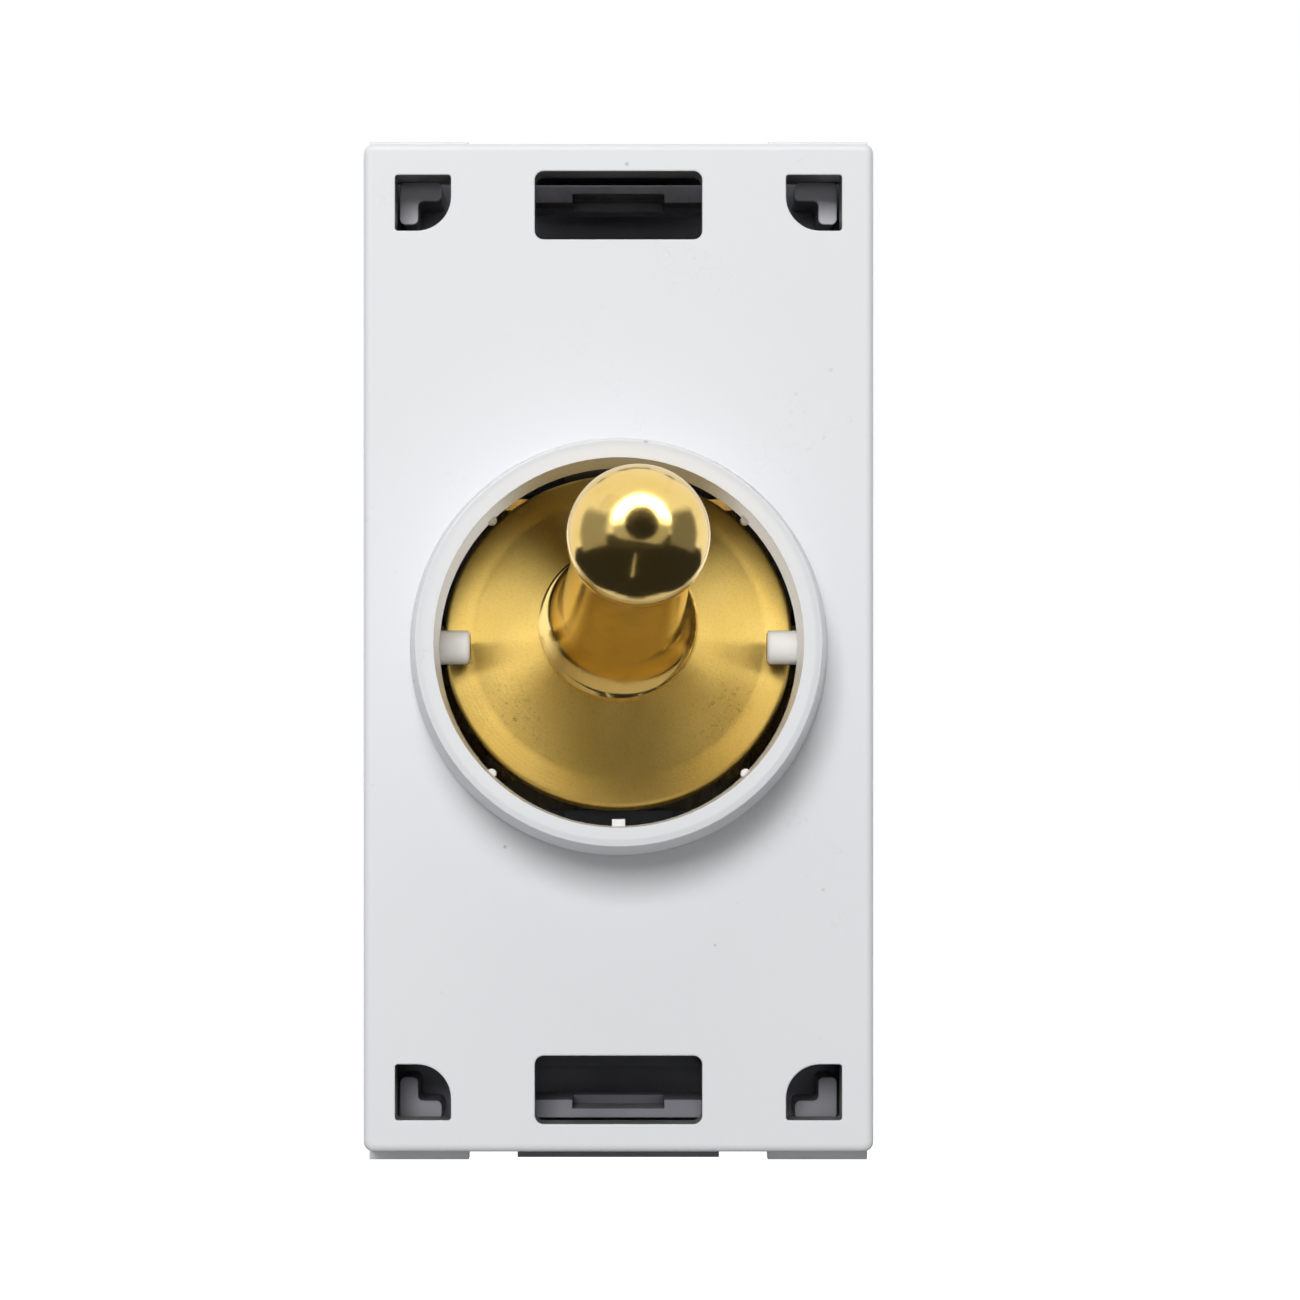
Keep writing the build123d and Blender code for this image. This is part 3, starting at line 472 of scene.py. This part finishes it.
def contact_silver():
    return metal("contact_silver", (0.82, 0.81, 0.78), (0.42, 0.39, 0.34), 0.26,
                 (3, 3, 3), 1.8, 0.55, 0.006)


def spring_steel():
    return metal("spring_steel", (0.60, 0.60, 0.61), (0.40, 0.38, 0.36), 0.24,
                 (1, 8, 1), 2.4, 0.3, 0.004, edge=0.03)


def plated_steel():
    return metal("plated_steel", (0.66, 0.67, 0.68), (0.47, 0.46, 0.42), 0.29,
                 (2, 2, 2), 1.6, 0.5, 0.006)


brass_olive = (0.40, 0.31, 0.13)


def brass_colour(finish):
    """Brass of two slowly changing depths."""
    return finish.tint(finish.fade(finish.noise(0.3, 2.0), 0.3, 0.75), (0.90, 0.665, 0.245),
                       (0.84, 0.585, 0.175))


def polished_brass():
    """The neck and the ball: polished, and a little smudged."""
    finish = Finish("polished_brass")
    smudge = finish.fade(finish.noise(0.8, 3.0, 0.6), 0.5, 0.75)
    colour = finish.tint(finish.product(smudge, 0.15), brass_colour(finish), brass_olive)
    wave = finish.noise(1.2, 2.0)
    roughness = finish.fade(wave, 0.35, 0.7, 0.13, 0.17)
    return finish.surface(colour, roughness, wave, 0.008, metallic=1.0)


def turned_brass():
    """The disc and its skirt: turned, with lathe marks that catch light across them."""
    finish = Finish("turned_brass")
    from_pivot = finish.vector("SUBTRACT", finish.mm, tuple(dolly_pivot / MM))
    height = finish.vector("DOT_PRODUCT", from_pivot, tuple(dolly_axis))
    along = finish.vector("SCALE", tuple(dolly_axis), scale=height)
    radial = finish.vector("SUBTRACT", from_pivot, along)
    radius = finish.vector("LENGTH", radial)
    # Lathe marks: a noise that changes only with the radius
    marks = finish.noise(9.0, 4.0, 0.7, finish.joined(radius, 0.0))
    # Short scratches follow the turn: fine noise across it, slow noise along it
    turn = finish.vector("CROSS_PRODUCT", finish.vector("NORMALIZE", radial), tuple(dolly_axis))
    space = finish.vector("ADD", finish.vector("SCALE", turn, scale=4.0),
                          finish.vector("SCALE", radial, scale=9.0))
    scratches = finish.noise(1.0, 4.0, 0.6, space)
    colour = finish.tint(0.6, brass_colour(finish), (0.86, 0.59, 0.13))
    # Tarnish gathers to the left and right of the lower half, in small dark specks
    band = finish.product(finish.fade(radius, 4.0, 5.0), finish.fade(radius, 6.9, 7.6, 1.0, 0.0))
    corrosion = finish.product(band, finish.fade(finish.noise(3.4, 5.0, 0.75), 0.55, 0.62))
    for side in (-1, 1):
        patch = finish.vector("DISTANCE", finish.mm, (side * 5.0, 1.0, -3.4))
        share = finish.product(corrosion, finish.fade(patch, 0.6, 2.6, 0.6, 0.0))
        colour = finish.tint(share, colour, (0.14, 0.11, 0.05))
    spots = finish.product(finish.flecks(2.6, 0.25, 0.16), 0.25)
    colour = finish.tint(spots, colour, brass_olive)
    worn = finish.product(finish.fade(scratches, 0.48, 0.66), 0.3)
    colour = finish.tint(worn, colour, (0.62, 0.44, 0.14))
    roughness = finish.fade(marks, 0.3, 0.7, 0.34, 0.42)
    relief = finish.total(marks, finish.product(scratches, 0.8))
    finish.feed(finish.shader.inputs["Tangent"], finish.to_world(radial, "VECTOR"))
    return finish.surface(colour, roughness, relief, 0.009, metallic=1.0, anisotropic=0.9)


def arc(start, middle, end, steps):
    """Points from start to end on the circle through three points, without the start."""
    (ax, ay), (bx, by), (cx, cy) = start, middle, end
    a, b, c = ax * ax + ay * ay, bx * bx + by * by, cx * cx + cy * cy
    d = 2 * (ax * (by - cy) + bx * (cy - ay) + cx * (ay - by))
    ux = (a * (by - cy) + b * (cy - ay) + c * (ay - by)) / d
    uy = (a * (cx - bx) + b * (ax - cx) + c * (bx - ax)) / d
    first = atan2(ay - uy, ax - ux)
    turn = (atan2(cy - uy, cx - ux) - first) % (2 * pi)
    part = (atan2(by - uy, bx - ux) - first) % (2 * pi)
    if part > turn:
        turn -= 2 * pi
    size = sqrt((ax - ux) ** 2 + (ay - uy) ** 2)
    return [(ux + size * cos(first + turn * i / steps), uy + size * sin(first + turn * i / steps))
            for i in range(1, steps + 1)]


def rounded(corner, before, after, radius, steps=6):
    """A corner of an outline rounded off, for two straight sides that come from before and go to after."""
    corner, before, after = Vector(corner), Vector(before), Vector(after)
    back = (before - corner).normalized()
    ahead = (after - corner).normalized()
    half = back.angle(ahead) / 2
    centre = corner + (back + ahead).normalized() * (radius / sin(half))
    start = corner + back * (radius / (sin(half) / cos(half)))
    end = corner + ahead * (radius / (sin(half) / cos(half)))
    middle = centre + (corner - centre).normalized() * radius
    return [tuple(start), *arc(tuple(start), tuple(middle), tuple(end), steps)]


def flare(start, leaving, arriving, end, steps):
    """A Bezier curve from start to end, with start itself."""
    points = []
    for i in range(steps + 1):
        t = i / steps
        shares = ((1 - t) ** 3, 3 * t * (1 - t) ** 2, 3 * t * t * (1 - t), t ** 3)
        parts = list(zip(shares, (start, leaving, arriving, end)))
        points.append(tuple(sum(share * point[k] for share, point in parts) for k in (0, 1)))
    return points


def straight(start, end, steps):
    return [tuple(Vector(start).lerp(Vector(end), i / steps)) for i in range(1, steps + 1)]


def dolly_profile():
    """The dolly's outline as points (radius, height), in two parts.

    The part below the bead's edge turns about the disc's axis, and the part above about the neck's."""
    disc_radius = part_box("dolly")[1].x / MM
    tail_end = disc_back_height - tail_length
    tail_corner = (tail_radius + 0.01, disc_back_height)
    band_end = (band_inner_radius, disc_front_height + band_rise)
    skirt_end = (bead_radius - skirt_end_inset, bead_bottom_height + 0.02)
    below = [
        (0.0, tail_end),
        *rounded((tail_radius, tail_end), (0, tail_end), (tail_radius, disc_back_height), tail_end_round),
        (tail_radius, disc_back_height - 0.01),
        tail_corner,
        *straight(tail_corner, (disc_radius - disc_edge_round, disc_back_height), 4)[:-1],
        *rounded((disc_radius, disc_back_height), (0, disc_back_height), (disc_radius, disc_front_height),
                 disc_edge_round),
        *rounded((disc_radius, disc_front_height), (disc_radius, disc_back_height), band_end,
                 disc_edge_round, 8),
    ]
    below += straight(below[-1], band_end, 8)
    middle = ((band_end[0] + skirt_end[0]) / 2, (band_end[1] + skirt_end[1]) / 2 - skirt_dish)
    below += arc(band_end, middle, skirt_end, 40)
    below += rounded((bead_radius, bead_bottom_height + 0.04), skirt_end, (bead_radius, bead_top_height),
                     bead_foot_round, 4)
    bead_edge_radius = bead_radius - bead_edge_inset
    below += rounded((bead_radius, bead_top_height - bead_top_round), (bead_radius, bead_bottom_height),
                     (bead_edge_radius, bead_top_height), bead_top_round, 6)
    # The neck and the ball lean together about the bead's foot
    shoulder, foot, ball = (height - bead_bottom_height
                            for height in (bead_top_height, neck_foot_height, ball_centre_height))
    ball_join = ball - sqrt(ball_radius ** 2 - neck_top_radius ** 2)
    above = flare((bead_edge_radius, shoulder), (3.5, shoulder + 0.25),
                  (neck_foot_radius + 0.06, shoulder + 1.1), (neck_foot_radius, foot), 24)
    above += straight((neck_foot_radius, foot), (neck_top_radius, ball_join), 26)
    start = -asin(sqrt(ball_radius ** 2 - neck_top_radius ** 2) / ball_radius)
    steps = 72
    above += [(ball_radius * cos(start + (pi / 2 - start) * i / steps),
               ball + ball_radius * sin(start + (pi / 2 - start) * i / steps)) for i in range(1, steps)]
    above.append((0.0, ball + ball_radius))
    return below, above


def add_object(name, mesh):
    thing = bpy.data.objects.new(name, mesh)
    bpy.context.scene.collection.objects.link(thing)
    return thing


def make_dolly():
    """The dolly turned in one piece: disc, band, dished skirt, bead, neck and ball, and its tail."""
    side = Vector((1, 0, 0))
    leaned = Vector((sin(neck_lean), cos(neck_lean) * dolly_axis.y, cos(neck_lean) * dolly_axis.z))
    bead_centre = dolly_pivot + dolly_axis * bead_bottom_height * MM
    below, above = dolly_profile()
    mesh = bmesh.new()

    def ring(origin, axis, radius, height):
        u = (side - axis * side.dot(axis)).normalized()
        v = axis.cross(u)
        centre = origin + axis * height * MM
        if radius < 1e-6:
            return [mesh.verts.new(centre)]
        return [mesh.verts.new(centre + (u * cos(a) + v * sin(a)) * radius * MM)
                for a in (2 * pi * i / turned_steps for i in range(turned_steps))]

    rings = [ring(dolly_pivot, dolly_axis, r, h) for r, h in below]
    rings += [ring(bead_centre, leaned, r, h) for r, h in above]
    for index, (first, second) in enumerate(zip(rings, rings[1:])):
        on_neck = index >= len(below) - 1
        for i in range(turned_steps):
            j = (i + 1) % turned_steps
            corners = [first[i % len(first)], first[j % len(first)],
                       second[j % len(second)], second[i % len(second)]]
            unique = list(dict.fromkeys(corners))
            if len(unique) > 2:
                face = mesh.faces.new(unique)
                face.smooth = True
                face.material_index = 1 if on_neck else 0
    bmesh.ops.recalc_face_normals(mesh, faces=mesh.faces)
    data = bpy.data.meshes.new("dolly_brass")
    mesh.to_mesh(data)
    mesh.free()
    data.materials.append(turned_brass())
    data.materials.append(polished_brass())
    piece = add_object("dolly_brass", data)
    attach(piece, "dolly")
    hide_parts("dolly")


def make_joint_strips(grey):
    """Thin flash on the housing's flange, which closes the joint under each side skirt."""
    for side, name in ((-1, "left"), (1, "right")):
        near, far = sorted((side * flash_inner, side * flash_outer))
        low = (near, flash_front_depth, -flash_half_height)
        high = (far, flash_back_depth, flash_half_height)
        mesh = bmesh.new()
        bmesh.ops.create_cube(mesh, size=1)
        for vertex in mesh.verts:
            vertex.co = Vector(a + (b - a) * (c + 0.5) for a, b, c in zip(low, high, vertex.co)) * MM
        data = bpy.data.meshes.new(f"flange_flash_{name}")
        mesh.to_mesh(data)
        mesh.free()
        data.materials.append(grey)
        piece = add_object(f"flange_flash_{name}", data)
        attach(piece, "base")


def dress_nodes():
    """Each CAD node gets the finish of its material slot. Gives the finishes by name."""
    made = {}
    makers = (white_plastic, grey_plastic, black_plastic, pale_board, natural_nylon, strip_brass,
              plated_brass, contact_silver, spring_steel, plated_steel, polished_brass)
    by_name = {maker.__name__: maker for maker in makers}
    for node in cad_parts.values():
        for slot in node.material_slots:
            name = slot.material.name.split(".")[0]
            if name not in made:
                made[name] = by_name[name]()
            slot.material = made[name]
    return made


# The studio. Cards are seen by polished surfaces only; lamps give the light.
def look_at(thing, place, target=(0, 0, 0)):
    thing.location = Vector(place) * MM
    thing.rotation_mode = "QUATERNION"
    thing.rotation_quaternion = (Vector(target) * MM - thing.location).to_track_quat("-Z", "Y")


def direction(azimuth, elevation):
    """Out of the front face, turned by azimuth to the right and by elevation up."""
    a, e = radians(azimuth), radians(elevation)
    return Vector((sin(a) * cos(e), -cos(a) * cos(e), sin(e)))


def lamp(name, place, size, level):
    """A soft rectangular lamp that gives a white face turned to it this share of its full brightness."""
    data = bpy.data.lights.new(name, "AREA")
    data.shape = "RECTANGLE"
    data.size, data.size_y = size[0] * MM, size[1] * MM
    away = Vector(place).length * MM
    data.energy = level * pi * pi * away * away
    thing = add_object(name, data)
    look_at(thing, place)
    thing.visible_glossy = False
    thing.visible_camera = False


class Card:
    """A card that only polished surfaces see. It is flat and faces target, or it is the given sheet."""

    def __init__(self, name, size, place=None, target=None, sheet=None):
        w, h = size[0] / 2 * MM, size[1] / 2 * MM
        data = bpy.data.meshes.new(name)
        corners = [(-w, -h, 0), (w, -h, 0), (w, h, 0), (-w, h, 0)]
        data.from_pydata(*(sheet or (corners, [], [(0, 1, 2, 3)])))
        self.half = (size[0] / 2, size[1] / 2)
        self.paint = Paint(name)
        self.x, self.y, self.z = self.paint.axes()
        data.materials.append(self.paint.material)
        thing = add_object(name, data)
        if sheet is None:
            look_at(thing, place, target)
        thing.visible_camera = False
        thing.visible_diffuse = False
        thing.visible_shadow = False
        thing.visible_transmission = False

    def glow(self, strength, cover):
        """The brightness, and the share of the card that hides what is behind it."""
        glow = self.paint.node("ShaderNodeEmission")
        self.paint.feed(glow.inputs["Strength"], strength)
        clear = self.paint.node("ShaderNodeBsdfTransparent")
        both = self.paint.node("ShaderNodeMixShader")
        for socket, value in zip(both.inputs, (cover, clear.outputs[0], glow.outputs[0])):
            self.paint.feed(socket, value)
        self.paint.show(both.outputs[0])

    def plain(self, strength, soft):
        """Evenly bright, with edges of the given soft width."""
        shares = [self.paint.fade(self.paint.size(place), half - soft, half, 1.0, 0.0)
                  for place, half in zip((self.x, self.y), self.half)]
        self.glow(strength, self.paint.product(*shares))

    def ring(self, lens, outer, rise, soft, strength, lens_strength, low_share):
        """A bright ring round a dark lens; it is narrower and dimmer at the bottom."""
        paint = self.paint
        bright = paint.fade(self.y, -outer * 0.1, outer * 0.35, strength * low_share, strength)
        inner = paint.fade(paint.vector("LENGTH", paint.mm), lens - soft / 3, lens + soft / 3)
        level = paint.total(paint.product(bright, inner),
                            paint.product(paint.math("SUBTRACT", 1.0, inner), lens_strength))
        outline = paint.vector("DISTANCE", paint.mm, (0.0, rise, 0.0))
        self.glow(level, paint.fade(outline, outer - soft, outer + soft, 1.0, 0.0))


def make_bore_card(name, side, strength):
    """A curved glowing card along one side of the collar's bore, seen only by polished surfaces: a painted
    reflection of a lit wall. It fades towards the top and the bottom.
    """
    radius = collar_bore - 0.04
    first_angle, last_angle, steps = -34, 74, 24
    points, faces = [], []
    for i in range(steps + 1):
        turn = radians(first_angle + (last_angle - first_angle) * i / steps)
        x, z = side * radius * cos(turn) * MM, radius * sin(turn) * MM
        points += [(x, -(collar_height - 0.3) * MM, z), (x, 1.0 * MM, z)]
    for i in range(steps):
        faces.append((2 * i, 2 * i + 1, 2 * i + 3, 2 * i + 2))
    card = Card(name, (1, 1), sheet=(points, [], faces))
    card.glow(strength, card.paint.product(card.paint.fade(card.z, -3.5, 2.0),
                                           card.paint.fade(card.z, 5.8, 8.2, 1.0, 0.0)))


def make_floor():
    """A plain pale floor. Near the object it takes the shadow; further out it is the white background."""
    floor_z = cad_box[0][2] - 50 * MM
    reach = 12000 * MM
    data = bpy.data.meshes.new("floor")
    data.from_pydata([(-reach, -reach, floor_z), (reach, -reach, floor_z), (reach, reach, floor_z),
                      (-reach, reach, floor_z)], [], [(0, 1, 2, 3)])
    paint = Paint("floor")
    pale = paint.node("ShaderNodeBsdfDiffuse")
    pale.inputs["Color"].default_value = (0.3, 0.3, 0.3, 1)
    glow = paint.node("ShaderNodeEmission")
    level = paint.fade(paint.vector("LENGTH", paint.mm), 120, 300, 0.78, 1.0)
    paint.feed(glow.inputs["Strength"], paint.product(level, paint.seen_ray()))
    both = paint.node("ShaderNodeAddShader")
    paint.feed(both.inputs[0], pale.outputs[0])
    paint.feed(both.inputs[1], glow.outputs[0])
    paint.show(both.outputs[0])
    data.materials.append(paint.material)
    add_object("floor", data)


def make_world():
    """White where it is seen, and a low even light from all round."""
    world = bpy.data.worlds.new("studio")
    bpy.context.scene.world = world
    world.use_nodes = True
    sky = Nodes(world.node_tree)
    background = sky.node("ShaderNodeBackground")
    background.inputs["Color"].default_value = (1, 1, 1, 1)
    sky.feed(background.inputs["Strength"], sky.fade(sky.seen_ray(), 0.0, 1.0, 0.11, 1.0))
    output = sky.node("ShaderNodeOutputWorld")
    sky.feed(output.inputs["Surface"], background.outputs[0])


def make_studio():
    # Lamps: name, place, size, level
    lamp("key", direction(-6, 20) * 400, (135, 135), 0.73)
    lamp("top", (-20, -70, 240), (220, 160), 0.2)
    lamp("left_fill", direction(-55, 14) * 150, (90, 90), 0.03)
    lamp("front", direction(0, 1) * 400, (60, 60), 0.05)
    lamp("back_left", (-260, 260, 220), (200, 200), 0.5)
    lamp("back_right", (260, 260, 120), (200, 200), 0.5)
    lamp("back_low", (0, 300, -20), (200, 120), 0.25)
    # What the ball and the skirt reflect: a ring light round a lens, and the dark room below it
    ball = Vector((0.9, -13.1, 4.5))
    Card("ring_card", (420, 420), ball + direction(4.8, 16.5) * 150, ball).ring(
        lens=77, outer=157, rise=22, soft=14, strength=5.5, lens_strength=0.02, low_share=0.08)
    Card("low_card", (900, 440), (0, 50, -62), (0, 50, 0)).plain(0.03, 30)
    Card("streak_card", (3, 90), (-9, -80, -61), (-9, -80, 0)).plain(1.2, 1)
    Card("low_front_card", (520, 110), ball + direction(0, -14) * 172, ball).plain(0.05, 20)
    Card("column_card", (110, 104), ball + direction(-1, -42) * 140, ball).plain(0.04, 16)
    Card("upper_left_card", (90, 80), ball + direction(-64, 46) * 165, ball).plain(0.9, 24)
    # Painted reflection: glowing cards on the bore's walls stand in for lit walls in the brass
    make_bore_card("bore_card_left", -1, 1.25)
    make_bore_card("bore_card_right", 1, 1.25)
    for name, side, level in (("left", -1, 0.35), ("right", 1, 0.2)):
        Card(f"{name}_card", (300, 300), (side * 230, -60, 20), (0, -20, 5)).plain(level, 60)


def make_camera():
    """Where the photograph was taken from, with the shift that puts the face where it is in the frame."""
    data = bpy.data.cameras.new("camera")
    camera = add_object("camera", data)
    camera.location = Vector((camera_x, -camera_distance, camera_z)) * MM
    camera.rotation_euler = (radians(90), 0, 0)
    data.sensor_width = sensor_width
    data.lens = sensor_width * camera_distance * photo_scale / photo_side
    data.shift_x = (photo_side / 2 - photo_face_centre[0] - camera_x * photo_scale) / photo_side
    data.shift_y = (photo_face_centre[1] - photo_side / 2 - camera_z * photo_scale) / photo_side
    data.clip_start = 1 * MM
    data.clip_end = 30000 * MM
    bpy.context.scene.camera = camera


make_dolly()
finishes = dress_nodes()
make_joint_strips(finishes["grey_plastic"])
make_floor()
make_world()
make_studio()
make_camera()
bpy.context.scene.view_settings.view_transform = "Standard"
